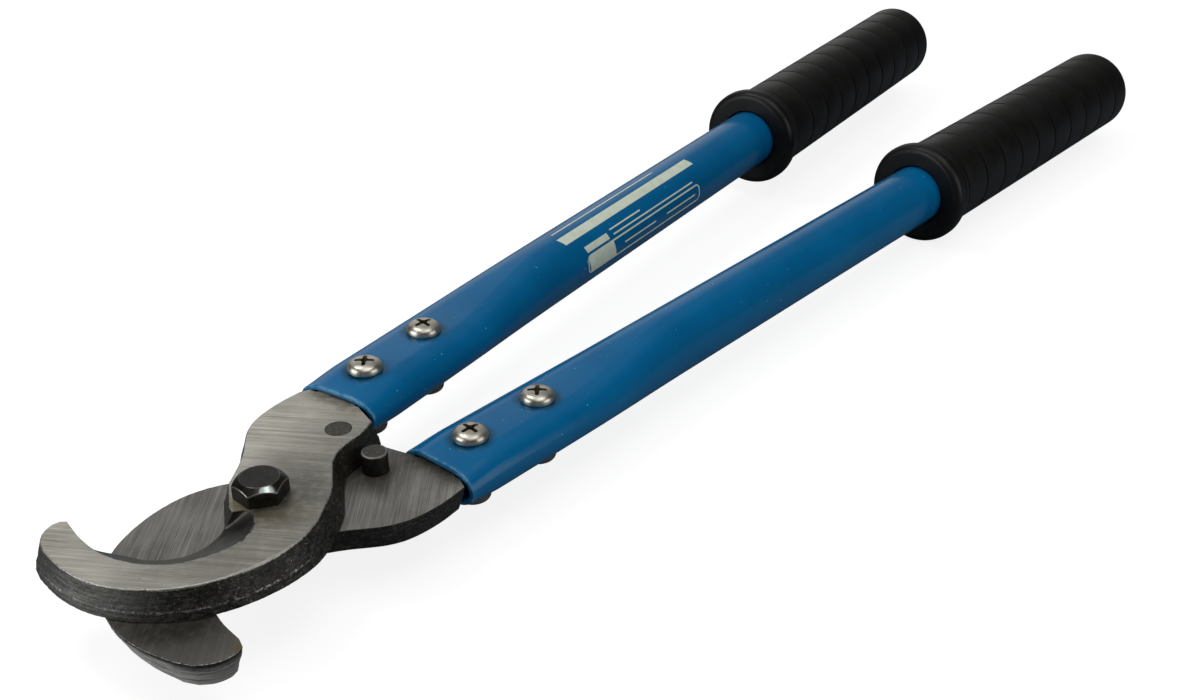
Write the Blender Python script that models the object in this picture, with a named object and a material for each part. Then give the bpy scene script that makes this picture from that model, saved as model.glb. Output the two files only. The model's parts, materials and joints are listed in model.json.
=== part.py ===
"""Two-handed cable cutter: two hooked shear blades on one pivot bolt, each blade with a tube handle.

Frame: the origin is on the pivot axis, at the flat top of the bolt's head. +X runs to the handles, +Z up
out of the head, and the upper blade's handle lies on the +Y side. The cutter is modelled closed.
Every piece is placed in the frame of an empty where the pivot axis crosses the shear plane between the
blades, and the heights in this file are counted from that plane. Both halves are one design: the lower
half's empty is turned by 180 degrees about X. All four handle screws have their heads on the +Z side, so
the lower half's screws are turned back.

Every length in this file is in millimetres; MM turns it into metres when a mesh is made.
"""

import math

import bmesh
import bpy
from mathutils import Matrix, Vector

MM = 0.001
SEGMENTS = 32                  # facets round a turned piece

# Blades
SHEAR_GAP = 0.15               # each blade's distance from the shear plane
BLADE_TOP = 8.0                # outer face of a blade, from the shear plane
PARTING_Z = 2.5                # height of the forging's faint parting ridge
RIDGE = 0.2                    # how far the ridge stands out from the drafted side
SIDE_DRAFT = 2.2               # how far a side stands out at the shear face beyond the outer face
BELLY_DRAFT = 1.2              # the same, added along the bottom of the hook
RELIEF_DEPTH = 1.0             # metal taken off the lower jaw's flank at its outer face
RELIEF_SHARE = 0.3             # share of the hook's back that the relief covers, from the tip
AXIS_Z = (SHEAR_GAP + BLADE_TOP) / 2
BEVEL_HOLLOW = 0.5             # how far the ground bevel sinks below a straight ramp
TANG_HALF_WIDTH = 7.0         # the part inside the tube; the tube ends just behind its shoulders
THROUGH = (-1.0, BLADE_TOP + 1.0)  # heights that a cutter for a hole through a blade runs between

# Pivot: an M8 hex bolt with a washer and a lock nut
BOLT_RADIUS = 3.95
BOLT_CHAMFER = 0.8
CROWN_RADIUS = 8.6             # of the cone and cylinder that turn down a hexagon's corners
CROWN_DROP = 2.55
BOLT_HEAD_FLATS = 13.0
BOLT_HEAD_HEIGHT = 5.3
BOLT_HEAD_TURN = math.radians(23)
HEAD_TOP_RADIUS = 5.2
BOLT_END_Z = -19.6
PIVOT_HOLE_RADIUS = 4.1
WASHER_RADIUS = 8.0
WASHER_THICKNESS = 1.6
NUT_HEIGHT = 7.9
CONTACT_GAP = 0.2              # clearance left between pieces that touch
SHEAR_PLANE_Z = -(BLADE_TOP + CONTACT_GAP + BOLT_HEAD_HEIGHT)  # from the origin, at the head's top

# Stop pins, one pressed into each blade
PIN_X = 34.4
PIN_Y = 6.75
PIN_RADIUS = 3.7
PIN_PROUD = 5.9                # how far a pin stands out beyond the shear plane
PIN_HOLE_RADIUS = 3.85
PIN_CHAMFER = 0.5

# Handle axes: each passes its front screw and leaves the X axis at a small angle
FRONT_SCREW = Vector((58.9, 20.1))
HANDLE_ANGLE = math.radians(4.25)
BEND_START = 60.0              # distances along a handle are counted from its front screw
BEND = math.radians(0.4)       # slight bend of the tube towards the shear plane
SCREW_SPACING = 27.6
TANG_END = 38.5
SHOULDER = -13.6
TUBE_START = -13.2
FLAT_END = 34.0
ROUND_START = 92.0
TUBE_END = 388.0
TUBE_RADIUS = 11.15
TUBE_WALL = 1.7
FLAT_HALF_WIDTH = 14.0         # the tube's first stretch is an oval, pressed flat round the tang
FLAT_HALF_HEIGHT = 7.0
END_REACH = 9.0                # width of the oval's rounded ends
MOUTH_HALF_HEIGHT = 5.85       # the oval is squeezed a little more at its mouth
MOUTH_LENGTH = 13.0

# Handle screws (M5 pan head) and the sleeve nuts they screw into
SCREW_HEAD_RADIUS = 5.3
SCREW_HEAD_HEIGHT = 3.15
SCREW_DOME = 2.9               # exponent of the pan head's profile; 2 would be an ellipse
SCREW_RADIUS = 2.4
SLEEVE_BORE_RADIUS = 2.6
SLEEVE_RADIUS = 3.5
SLEEVE_HEAD_RADIUS = 5.3
SLEEVE_HEAD_HEIGHT = 6.2
SLEEVE_HEAD_ROUNDING = 1.5
SCREW_HOLE_RADIUS = 2.7
SLEEVE_HOLE_RADIUS = 3.8
RECESS_LENGTH = 6.2
RECESS_WIDTH = 1.4
RECESS_DEPTH = 2.4

# Grips
GRIP_START = 243.0
GRIP_END = 402.0
GRIP_RADIUS = 17.1
GRIP_BORE_RADIUS = 11.45
COLLAR_RADIUS = 19.6
COLLAR_END = 250.4
STEP_RADIUS = 18.3
STEP_END = 253.6
GRIP_END_ROUNDING = 5.0
COLLAR_ROUNDING = 3.0
GROOVE_COUNT = 10
GROOVE_START = 255.4
GROOVE_PITCH = 14.65
GROOVE_WIDTH = 1.0
GROOVE_DEPTH = 0.6

# The blade's outer face, as points that a smooth curve passes
NECK = [(41.9, 30.0), (35.3, 30.3), (28.8, 29.8), (22.9, 28.4), (18.3, 25.9), (14.5, 22.6),
        (10.5, 18.8), (6.4, 15.6), (2.1, 12.9), (-1.9, 10.5)]
NOSE = (-8.9, 2.2)
MOUTH = [(-9.7, 0.0), (-7.4, -2.6), (-8.6, -7.0), (-13.0, -10.3), (-19.5, -11.2), (-30.1, -7.2),
         (-37.2, 0.4), (-40.6, 10.5), (-40.2, 20.5), (-37.5, 30.4)]
TIP = [(-38.6, 31.7), (-40.9, 32.1), (-44.3, 30.9), (-47.1, 28.2)]
BACK = [(-48.6, 24.5), (-50.2, 14.8), (-49.4, 4.3), (-45.0, -5.5), (-38.0, -13.6), (-29.2, -19.0),
        (-18.5, -22.0), (-8.5, -22.4), (-0.9, -20.6), (5.8, -17.1), (12.4, -13.0), (17.0, -8.6),
        (21.6, -3.9)]
SHANK = [(25.6, -1.5), (31.0, -0.3), (37.3, 0.3), (42.7, 2.1)]
# The cutting edge, in the shear plane, from the nose to the tip
CUTTING_EDGE = [(-13.4, 3.2), (-19.5, 2.9), (-25.4, 5.3), (-29.9, 10.6), (-32.3, 17.0),
                (-34.7, 23.5), (-36.2, 30.9)]

COLOURS = {
    # name: (base colour, metallic, roughness)
    "ground_steel": ((0.42, 0.40, 0.37), 1.0, 0.38),
    "black_steel": ((0.025, 0.025, 0.025), 0.7, 0.45),
    "bright_zinc": ((0.62, 0.59, 0.53), 1.0, 0.28),
    "blue_paint": ((0.0, 0.06, 0.19), 0.0, 0.25),
    "black_rubber": ((0.012, 0.012, 0.013), 0.0, 0.45),
}


# ---- Helpers -------------------------------------------------------------------------------------

def clear_scene():
    for obj in list(bpy.data.objects):
        bpy.data.objects.remove(obj, do_unlink=True)


def material(name):
    found = bpy.data.materials.get(name)
    if found:
        return found
    colour, metallic, roughness = COLOURS[name]
    made = bpy.data.materials.new(name)
    made.use_nodes = True
    shader = made.node_tree.nodes["Principled BSDF"]
    shader.inputs["Base Color"].default_value = (*colour, 1.0)
    shader.inputs["Metallic"].default_value = metallic
    shader.inputs["Roughness"].default_value = roughness
    return made


def add_empty(name, place):
    empty = bpy.data.objects.new(name, None)
    bpy.context.scene.collection.objects.link(empty)
    empty.matrix_basis = place
    return empty


def add_object(name, bm, finish, place=None, parent=None):
    """Turns a bmesh in millimetres into an object in metres, smooth except at its sharp edges, and
    places it in its parent's frame."""
    bmesh.ops.remove_doubles(bm, verts=bm.verts, dist=1e-4)
    bmesh.ops.recalc_face_normals(bm, faces=bm.faces)
    bmesh.ops.scale(bm, vec=(MM, MM, MM), verts=bm.verts)
    mesh = bpy.data.meshes.new(name)
    bm.to_mesh(mesh)
    bm.free()
    mesh.shade_smooth()
    mesh.set_sharp_from_angle(angle=math.radians(30))
    mesh.materials.append(material(finish))
    obj = bpy.data.objects.new(name, mesh)
    bpy.context.scene.collection.objects.link(obj)
    obj.parent = parent
    if place:
        obj.matrix_basis = place
    return obj


def cut(obj, cutter, operation="DIFFERENCE"):
    cutter.hide_render = True
    cutter.display_type = "WIRE"
    modifier = obj.modifiers.new(cutter.name, "BOOLEAN")
    modifier.operation = operation
    modifier.object = cutter
    modifier.solver = "EXACT"


def bridge(bm, loops, closed_profile=False, caps=True):
    """Joins rings of points, all of one length, into a skin; caps close the first and last ring."""
    rings = [[bm.verts.new(point) for point in loop] for loop in loops]
    pairs = list(zip(rings, rings[1:]))
    if closed_profile:
        pairs.append((rings[-1], rings[0]))
    for lower, upper in pairs:
        for i in range(len(lower)):
            j = (i + 1) % len(lower)
            bm.faces.new((lower[i], lower[j], upper[j], upper[i]))
    if caps:
        bm.faces.new(rings[0][::-1])
        bm.faces.new(rings[-1])


def ring(radius, z, segments=SEGMENTS, turn=0.0):
    steps = [turn + 2 * math.pi * i / segments for i in range(segments)]
    return [(radius * math.cos(a), radius * math.sin(a), z) for a in steps]


def turned(profile, segments=SEGMENTS, hollow=False):
    """A solid of revolution about Z from (radius, z) points; a hollow one has a closed profile."""
    bm = bmesh.new()
    bridge(bm, [ring(r, z, segments) for r, z in profile], closed_profile=hollow, caps=not hollow)
    return bm


def cylinder_cutter(name, radius, low, high, x=0.0, y=0.0, parent=None):
    place = Matrix.Translation(Vector((x, y, 0)) * MM)
    return add_object(name, turned([(radius, low), (radius, high)]), "black_steel", place, parent)


def rounded(centre_r, centre_z, radius, start_deg, end_deg, steps=5):
    """Points of an arc in the (radius, z) plane of a turned profile."""
    angles = [math.radians(start_deg + (end_deg - start_deg) * i / steps) for i in range(steps + 1)]
    return [(centre_r + radius * math.cos(a), centre_z + radius * math.sin(a)) for a in angles]


def smooth_curve(points, count):
    """Catmull-Rom curve through the points, resampled at equal distances, both ends included."""
    knots = [Vector(p) for p in points]
    knots = [2 * knots[0] - knots[1]] + knots + [2 * knots[-1] - knots[-2]]
    fine = []
    for a, b, c, d in zip(knots, knots[1:], knots[2:], knots[3:]):
        for i in range(16):
            t = i / 16
            fine.append(0.5 * (2 * b + (c - a) * t + (2 * a - 5 * b + 4 * c - d) * t ** 2
                               + (3 * b - a - 3 * c + d) * t ** 3))
    fine.append(knots[-2])
    lengths = [0.0]
    for a, b in zip(fine, fine[1:]):
        lengths.append(lengths[-1] + (b - a).length)
    result = []
    for i in range(count):
        wanted = lengths[-1] * i / (count - 1)
        k = max(j for j in range(len(fine) - 1) if lengths[j] <= wanted + 1e-9)
        share = (wanted - lengths[k]) / (lengths[k + 1] - lengths[k])
        result.append(fine[k].lerp(fine[k + 1], min(share, 1.0)))
    return result


def along_handle(distance, offset=0.0):
    """Plan point on the upper handle, a distance behind its front screw and an offset to its left."""
    direction = Vector((math.cos(HANDLE_ANGLE), math.sin(HANDLE_ANGLE)))
    left = Vector((-direction.y, direction.x))
    return FRONT_SCREW + direction * distance + left * offset


def handle_matrix():
    """Places a piece built along +Z, with its own X to the side, on a handle's axis."""
    x_side = Matrix(((0, 0, 1), (1, 0, 0), (0, 1, 0))).to_4x4()
    place = Matrix.Translation(Vector((*FRONT_SCREW, AXIS_Z)) * MM)
    return place @ Matrix.Rotation(HANDLE_ANGLE, 4, "Z") @ x_side


def bend_matrix(unit=1.0):
    """The tube's slight bend, about a point on the handle's axis, in the piece's own frame."""
    there = Matrix.Translation(Vector((0, 0, BEND_START)) * unit)
    return there @ Matrix.Rotation(BEND, 4, "X") @ there.inverted()


HALF_TURN = Matrix.Rotation(math.pi, 4, "X")


# ---- Blades --------------------------------------------------------------------------------------

def outward_normals(outline):
    """Unit normals that point out of a closed anticlockwise outline."""
    normals = []
    for i, point in enumerate(outline):
        before = (point - outline[i - 1]).normalized()
        after = (outline[(i + 1) % len(outline)] - point).normalized()
        along = (before + after).normalized()
        normals.append(Vector((along.y, -along.x)))
    return normals


def blade_section(height, relief):
    """The blade's outline at a height above the shear plane: the forged sides lean out towards the
    shear face, and the mouth's wall runs down to the cutting edge as a ground bevel. The relief is
    metal taken off the flank of the hook, most at the outer face."""
    neck = smooth_curve(NECK, 22) + [Vector(NOSE)]
    mouth = smooth_curve(MOUTH, 34)
    edge = smooth_curve(CUTTING_EDGE, 34)
    tip = smooth_curve(TIP, 6)
    back = smooth_curve(BACK, 36)
    shank = smooth_curve(SHANK, 8)
    tang = [along_handle(SHOULDER, -8.5), along_handle(SHOULDER, -TANG_HALF_WIDTH),
            along_handle(TANG_END, -TANG_HALF_WIDTH), along_handle(TANG_END, TANG_HALF_WIDTH),
            along_handle(SHOULDER, TANG_HALF_WIDTH), along_handle(SHOULDER, 9.4)]
    face = neck + mouth + tip + back + shank + tang
    normals = outward_normals(face)
    first_mouth = len(neck)
    first_tip = first_mouth + len(mouth)
    first_back = first_tip + len(tip)
    first_shank = first_back + len(back)
    first_tang = first_shank + len(shank)

    ramp = (BLADE_TOP - height) / (BLADE_TOP - SHEAR_GAP)
    hollow = BEVEL_HOLLOW * 4 * ramp * (1 - ramp)
    section = []
    for i, (point, normal) in enumerate(zip(face, normals)):
        if first_mouth <= i < first_tip:
            down_bevel = edge[i - first_mouth] - point
            point = point + down_bevel * ramp - down_bevel.normalized() * hollow
        elif i < first_tang:
            draft = SIDE_DRAFT
            if first_back <= i < first_shank:
                draft += BELLY_DRAFT * max(-normal.y, 0.0) ** 3
                share = (i - first_back) / len(back) / RELIEF_SHARE
                point = point - normal * relief * (1 - ramp) * math.sin(math.pi * min(share, 1.0))
            point = point + normal * (draft * ramp + (RIDGE if height == PARTING_Z else 0.0))
        section.append((point.x, point.y, height))
    return section


def add_blade(name, half, relief):
    bm = bmesh.new()
    middle = (PARTING_Z + BLADE_TOP) / 2
    heights = (SHEAR_GAP, PARTING_Z, middle, BLADE_TOP)
    bridge(bm, [blade_section(height, relief) for height in heights])
    blade = add_object(name, bm, "ground_steel", parent=half)
    side = name.split("_")[0]
    cut(blade, cylinder_cutter(f"{side}_pivot_hole", PIVOT_HOLE_RADIUS, *THROUGH, parent=blade))
    cut(blade, cylinder_cutter(f"{side}_pin_hole", PIN_HOLE_RADIUS, *THROUGH, PIN_X, PIN_Y, blade))
    for i, row in enumerate(("front", "rear")):
        x, y = along_handle(SCREW_SPACING * i)
        cut(blade, cylinder_cutter(f"{side}_{row}_tang_hole", SLEEVE_HOLE_RADIUS, *THROUGH, x, y, blade))


def add_stop_pin(name, half):
    """A round pin, flush with the blade's outer face and proud of its shear face."""
    profile = [(PIN_RADIUS - PIN_CHAMFER, -PIN_PROUD), (PIN_RADIUS, -PIN_PROUD + PIN_CHAMFER),
               (PIN_RADIUS, BLADE_TOP)]
    place = Matrix.Translation(Vector((PIN_X, PIN_Y, 0)) * MM)
    add_object(name, turned(profile), "black_steel", place, half)


# ---- Pivot ---------------------------------------------------------------------------------------

def hexagon_bm(flats, low, high):
    bm = bmesh.new()
    corner = flats / math.sqrt(3)
    bridge(bm, [ring(corner, low, 6, BOLT_HEAD_TURN), ring(corner, high, 6, BOLT_HEAD_TURN)])
    return bm


def add_pivot_bolt(pivot):
    """Hex head with turned-down corners, and a plain shank that ends in a chamfer."""
    low = BLADE_TOP + CONTACT_GAP
    high = low + BOLT_HEAD_HEIGHT
    bolt = add_object("pivot_bolt", hexagon_bm(BOLT_HEAD_FLATS, low, high), "black_steel", parent=pivot)
    crown = [(CROWN_RADIUS, low - 1), (CROWN_RADIUS, high - CROWN_DROP), (HEAD_TOP_RADIUS, high),
             (HEAD_TOP_RADIUS - 1, high + 0.5)]
    cut(bolt, add_object("bolt_crown", turned(crown), "black_steel", parent=bolt), "INTERSECT")
    shank = [(BOLT_RADIUS - BOLT_CHAMFER, BOLT_END_Z), (BOLT_RADIUS, BOLT_END_Z + BOLT_CHAMFER),
             (BOLT_RADIUS, low + 2)]
    cut(bolt, add_object("bolt_shank", turned(shank), "black_steel", parent=bolt), "UNION")


def add_washer(pivot):
    top = -BLADE_TOP - CONTACT_GAP
    low = top - WASHER_THICKNESS
    profile = [(PIVOT_HOLE_RADIUS, low), (WASHER_RADIUS, low), (WASHER_RADIUS, top),
               (PIVOT_HOLE_RADIUS, top)]
    add_object("pivot_washer", turned(profile, hollow=True), "black_steel", parent=pivot)


def add_nut(pivot):
    top = -BLADE_TOP - WASHER_THICKNESS - 2 * CONTACT_GAP
    low = top - NUT_HEIGHT
    nut = add_object("pivot_nut", hexagon_bm(BOLT_HEAD_FLATS, low, top), "black_steel", parent=pivot)
    crown = [(HEAD_TOP_RADIUS - 1, low - 0.5), (HEAD_TOP_RADIUS, low), (CROWN_RADIUS, low + CROWN_DROP),
             (CROWN_RADIUS, top + 1)]
    cut(nut, add_object("nut_crown", turned(crown), "black_steel", parent=nut), "INTERSECT")
    cut(nut, cylinder_cutter("nut_bore", PIVOT_HOLE_RADIUS, low - 1, top + 1, parent=nut))


# ---- Handles -------------------------------------------------------------------------------------

def eased(share):
    """Eases a share of 0..1 in and out, and holds it outside."""
    share = min(max(share, 0.0), 1.0)
    return share * share * (3 - 2 * share)


def oval(distance, inset):
    """Cross-section of the tube: an oval pressed flat round the tang, easing into a circle."""
    opened = eased((distance - TUBE_START) / MOUTH_LENGTH)
    flat_height = MOUTH_HALF_HEIGHT + (FLAT_HALF_HEIGHT - MOUTH_HALF_HEIGHT) * opened
    roundness = eased((distance - FLAT_END) / (ROUND_START - FLAT_END))
    half_width = FLAT_HALF_WIDTH + (TUBE_RADIUS - FLAT_HALF_WIDTH) * roundness - inset
    half_height = flat_height + (TUBE_RADIUS - flat_height) * roundness - inset
    reach = END_REACH + (TUBE_RADIUS - END_REACH) * roundness - inset
    points = []
    for i in range(SEGMENTS):
        a = 2 * math.pi * (i + 0.5) / SEGMENTS
        across = reach * math.cos(a) + math.copysign(half_width - reach, math.cos(a))
        points.append(Vector((across, half_height * math.sin(a), distance)))
    if distance > BEND_START:
        points = [bend_matrix() @ point for point in points]
    return points


def add_tube(name, half, turned_over):
    bm = bmesh.new()
    opening = [TUBE_START + MOUTH_LENGTH * i / 3 for i in range(4)]
    easing = [FLAT_END + (ROUND_START - FLAT_END) * i / 6 for i in range(7)]
    stations = opening + easing + [TUBE_END]
    outer = [oval(s, 0.0) for s in stations]
    inner = [oval(s, TUBE_WALL) for s in reversed(stations)]
    bridge(bm, outer + inner, closed_profile=True, caps=False)
    tube = add_object(name, bm, "blue_paint", handle_matrix(), half)
    high = FLAT_HALF_HEIGHT + 2
    side = -1 if turned_over else 1
    for i, row in enumerate(("front", "rear")):
        for radius, up, end in ((SCREW_HOLE_RADIUS, side, "screw"), (SLEEVE_HOLE_RADIUS, -side, "nut")):
            bore = cylinder_cutter(f"{name}_{row}_{end}_hole", radius, 0, high, parent=tube)
            stand_up = Matrix.Rotation(-math.pi / 2 * up, 4, "X")
            slide = Matrix.Translation(Vector((0, 0, SCREW_SPACING * i)) * MM)
            bore.matrix_basis = slide @ stand_up
            cut(tube, bore)


def add_screw(name, half, place):
    """Pan-head screw with a cross recess, built about the handle's axis with its head up."""
    low = FLAT_HALF_HEIGHT + CONTACT_GAP
    high = low + SCREW_HEAD_HEIGHT
    crown = []
    for a in (math.radians(degrees) for degrees in (18, 36, 54, 70, 84)):
        crown.append((SCREW_HEAD_RADIUS * math.cos(a) ** (2 / SCREW_DOME),
                      low + SCREW_HEAD_HEIGHT * math.sin(a) ** (2 / SCREW_DOME)))
    tip = 1.2 - FLAT_HALF_HEIGHT
    profile = [(SCREW_RADIUS - 0.4, tip), (SCREW_RADIUS, tip + 0.4), (SCREW_RADIUS, low),
               (SCREW_HEAD_RADIUS, low)] + crown
    screw = add_object(name, turned(profile, 24), "bright_zinc", place, half)
    for i in range(2):
        bm = bmesh.new()
        bmesh.ops.create_cube(bm, size=1)
        bmesh.ops.scale(bm, vec=(RECESS_LENGTH, RECESS_WIDTH, 2 * RECESS_DEPTH), verts=bm.verts)
        turn = Matrix.Rotation(math.pi / 2 * i + HANDLE_ANGLE, 4, "Z")
        up = Matrix.Translation(Vector((0, 0, high)) * MM)
        cut(screw, add_object(f"{name}_slot_{i}", bm, "bright_zinc", up @ turn, screw))


def add_sleeve_nut(name, half, place):
    """Barrel nut with a tall round head, built about the handle's axis; the sleeve reaches up the
    tang's hole."""
    seat = -FLAT_HALF_HEIGHT - CONTACT_GAP
    top = FLAT_HALF_HEIGHT - TUBE_WALL - 1.0
    dome = rounded(SLEEVE_HEAD_RADIUS - SLEEVE_HEAD_ROUNDING,
                   seat - SLEEVE_HEAD_HEIGHT + SLEEVE_HEAD_ROUNDING, SLEEVE_HEAD_ROUNDING, -84, 0, 4)
    bore_end = seat - 0.6
    profile = dome + [(SLEEVE_HEAD_RADIUS, seat), (SLEEVE_RADIUS, seat), (SLEEVE_RADIUS, top),
                      (SLEEVE_BORE_RADIUS, top), (SLEEVE_BORE_RADIUS, bore_end)]
    add_object(name, turned(profile, 24), "bright_zinc", place, half)


def add_fasteners(side, half, turned_over):
    for i, row in enumerate(("front", "rear")):
        place = Matrix.Translation(Vector((*along_handle(SCREW_SPACING * i), AXIS_Z)) * MM)
        if turned_over:
            place = place @ HALF_TURN
        add_screw(f"{side}_{row}_screw", half, place)
        add_sleeve_nut(f"{side}_{row}_sleeve_nut", half, place)


def add_grip(name, half):
    """Moulded grip: a rounded collar and a small step, then a body with fine ring grooves, closed at
    its end."""
    middle = COLLAR_RADIUS - COLLAR_ROUNDING
    collar = (rounded(middle, GRIP_START + COLLAR_ROUNDING, COLLAR_ROUNDING, -75, 0, 4)
              + rounded(middle, COLLAR_END - COLLAR_ROUNDING, COLLAR_ROUNDING, 0, 60, 4))
    grooves = []
    for i in range(GROOVE_COUNT):
        at = GROOVE_START + GROOVE_PITCH * i
        grooves += [(GRIP_RADIUS, at - GROOVE_WIDTH / 2), (GRIP_RADIUS - GROOVE_DEPTH, at),
                    (GRIP_RADIUS, at + GROOVE_WIDTH / 2)]
    body_end = rounded(GRIP_RADIUS - GRIP_END_ROUNDING, GRIP_END - GRIP_END_ROUNDING,
                       GRIP_END_ROUNDING, 0, 82, 6)
    profile = ([(GRIP_BORE_RADIUS, TUBE_END + 2), (GRIP_BORE_RADIUS, GRIP_START)] + collar
               + [(STEP_RADIUS, COLLAR_END), (STEP_RADIUS, STEP_END)] + grooves + body_end)
    add_object(name, turned(profile), "black_rubber", handle_matrix() @ bend_matrix(MM), half)


def build():
    clear_scene()
    centre = Matrix.Translation(Vector((0, 0, SHEAR_PLANE_Z)) * MM)
    for side in ("upper", "lower"):
        turned_over = side == "lower"
        half = add_empty(f"{side}_half", centre @ HALF_TURN if turned_over else centre)
        add_blade(f"{side}_blade", half, RELIEF_DEPTH if turned_over else 0.0)
        add_stop_pin(f"{side}_stop_pin", half)
        add_tube(f"{side}_handle_tube", half, turned_over)
        add_fasteners(side, half, turned_over)
        add_grip(f"{side}_grip", half)
    pivot = add_empty("pivot", centre)
    add_pivot_bolt(pivot)
    add_washer(pivot)
    add_nut(pivot)


build()
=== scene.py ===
"""Looks of the two-handed cable cutter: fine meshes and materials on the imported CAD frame.

Lengths in this file are in millimetres unless a name says otherwise; MM turns them into metres. Heights
are counted from the shear plane between the blades. Both halves of the cutter are one design: a half's
pieces are made in the upper half's frame, and the lower half's are turned by 180 degrees about X.
"""

import json
from math import copysign, cos, exp, pi, radians, sin, sqrt

import bmesh
import bpy
from mathutils import Matrix, Vector, noise

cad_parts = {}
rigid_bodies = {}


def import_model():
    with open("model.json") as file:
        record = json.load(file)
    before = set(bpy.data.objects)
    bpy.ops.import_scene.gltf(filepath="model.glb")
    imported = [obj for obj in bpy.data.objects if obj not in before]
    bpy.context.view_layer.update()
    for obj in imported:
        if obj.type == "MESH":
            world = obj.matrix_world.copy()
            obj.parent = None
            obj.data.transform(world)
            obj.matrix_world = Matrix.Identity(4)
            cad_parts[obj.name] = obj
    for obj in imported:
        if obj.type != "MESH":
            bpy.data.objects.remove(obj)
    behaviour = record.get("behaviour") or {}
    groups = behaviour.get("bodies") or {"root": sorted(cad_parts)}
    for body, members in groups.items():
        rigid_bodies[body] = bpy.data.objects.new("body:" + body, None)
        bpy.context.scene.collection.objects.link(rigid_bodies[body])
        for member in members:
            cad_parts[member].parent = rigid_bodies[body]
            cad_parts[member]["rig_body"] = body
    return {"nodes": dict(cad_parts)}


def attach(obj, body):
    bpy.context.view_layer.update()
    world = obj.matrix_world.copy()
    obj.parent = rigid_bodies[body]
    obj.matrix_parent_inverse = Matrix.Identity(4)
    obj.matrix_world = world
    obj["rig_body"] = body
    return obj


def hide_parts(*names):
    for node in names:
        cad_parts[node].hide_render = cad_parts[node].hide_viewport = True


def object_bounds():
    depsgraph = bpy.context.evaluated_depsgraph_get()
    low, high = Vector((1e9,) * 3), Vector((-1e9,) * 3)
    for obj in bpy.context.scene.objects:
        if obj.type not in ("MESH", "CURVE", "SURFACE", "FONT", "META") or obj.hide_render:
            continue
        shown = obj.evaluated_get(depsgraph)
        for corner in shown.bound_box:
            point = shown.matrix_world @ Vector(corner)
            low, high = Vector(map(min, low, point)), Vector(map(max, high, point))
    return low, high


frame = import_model()
CAD_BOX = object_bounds()
SCENE = bpy.context.scene

MM = 0.001
SHEAR_PLANE_Z = -13.5    # from the frame's origin, at the top of the bolt's head
CENTRE = Matrix.Translation((0, 0, SHEAR_PLANE_Z * MM))
HALF_TURN = Matrix.Rotation(pi, 4, "X")

# Blades
SHEAR_GAP = 0.15         # from the shear plane to a blade's shear face
BLADE_TOP = 8.0          # the outer face
PARTING_Z = 2.5          # the ridge left by the forging die's parting line
RIDGE = 0.2              # how far that ridge stands out
SIDE_DRAFT = 2.2         # how much further out the walls stand at the shear face
BELLY_DRAFT = 1.2        # extra draft under the hook
RELIEF_DEPTH = 1.0       # the lower blade's back is relieved by this much
RELIEF_SHARE = 0.3       # over this share of the back, from the tip
BEVEL_HOLLOW = 0.5
BEVEL_NOISE = 0.04
TANG_HALF_WIDTH = 7.0
SHOULDER_RIGHT = 8.5     # shoulder corners, from the handle's axis
SHOULDER_LEFT = 9.4
AXIS_Z = (SHEAR_GAP + BLADE_TOP) / 2
EDGE_ROUND = 0.22        # worn rounding of the forging's edges
WALL_NOISE = 0.10        # roughness of the forged walls
FADE_X = 14.0            # bright wear low on the walls ends here, towards the handles
FADE_LENGTH = 25.0       # and is full this far to the left
BATTERED = ((-19, 9, 0.5), (-39, 6, 0.3))  # x, spread, strength of knocks on the hook's edge

# Pivot
BOLT_RADIUS = 3.95
THREAD_PITCH = 1.25
THREAD_DEPTH = 0.35
HEAD_FLATS = 13.0
HEAD_LOW = 8.2
HEAD_HEIGHT = 5.3
HEAD_TURN = radians(23)
HEAD_TOP_RADIUS = 5.2
HEAD_SLOPE = 0.75        # fall of the turned chamfer per millimetre of radius
BOLT_END_Z = -19.6
THREAD_START_Z = -9.0
PIVOT_HOLE_RADIUS = 4.1
WASHER_RADIUS = 8.0
WASHER_TOP = -8.2
WASHER_LOW = -9.8
WASHER_ROUND = 0.2
NUT_TOP = -10.0
NUT_LOW = -17.9
NUT_COUNTERSINK = 0.7
HEX_SEGMENTS = 360
ROUND_SEGMENTS = 72
FINE_SEGMENTS = 96

# Stop pins
PIN_X = 34.4
PIN_Y = 6.75
PIN_RADIUS = 3.7
PIN_PROUD = 5.9
PIN_CHAMFER = 0.55
PIN_HOLE_RADIUS = 3.8

# Handles: distances along a handle are counted from its front screw
FRONT_SCREW = Vector((58.9, 20.1))
HANDLE_ANGLE = radians(4.25)
BEND_START = 60.0
BEND = radians(0.4)
SCREW_SPACING = 27.6
TANG_END = 38.5
SHOULDER = -13.6
TUBE_START = -13.2
FLAT_END = 34.0
ROUND_START = 92.0
TUBE_END = 388.0
TUBE_RADIUS = 11.15
TUBE_WALL = 1.7
FLAT_HALF_WIDTH = 14.0
FLAT_HALF_HEIGHT = 7.0
END_REACH = 9.0          # width of the flat stretch's rounded ends
MOUTH_HALF_HEIGHT = 5.85
MOUTH_LENGTH = 13.0
RIM_LENGTH = 0.45        # worn rim at the mouth
RIM_NOISE = 0.12
TUBE_SEGMENTS = 96

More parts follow.
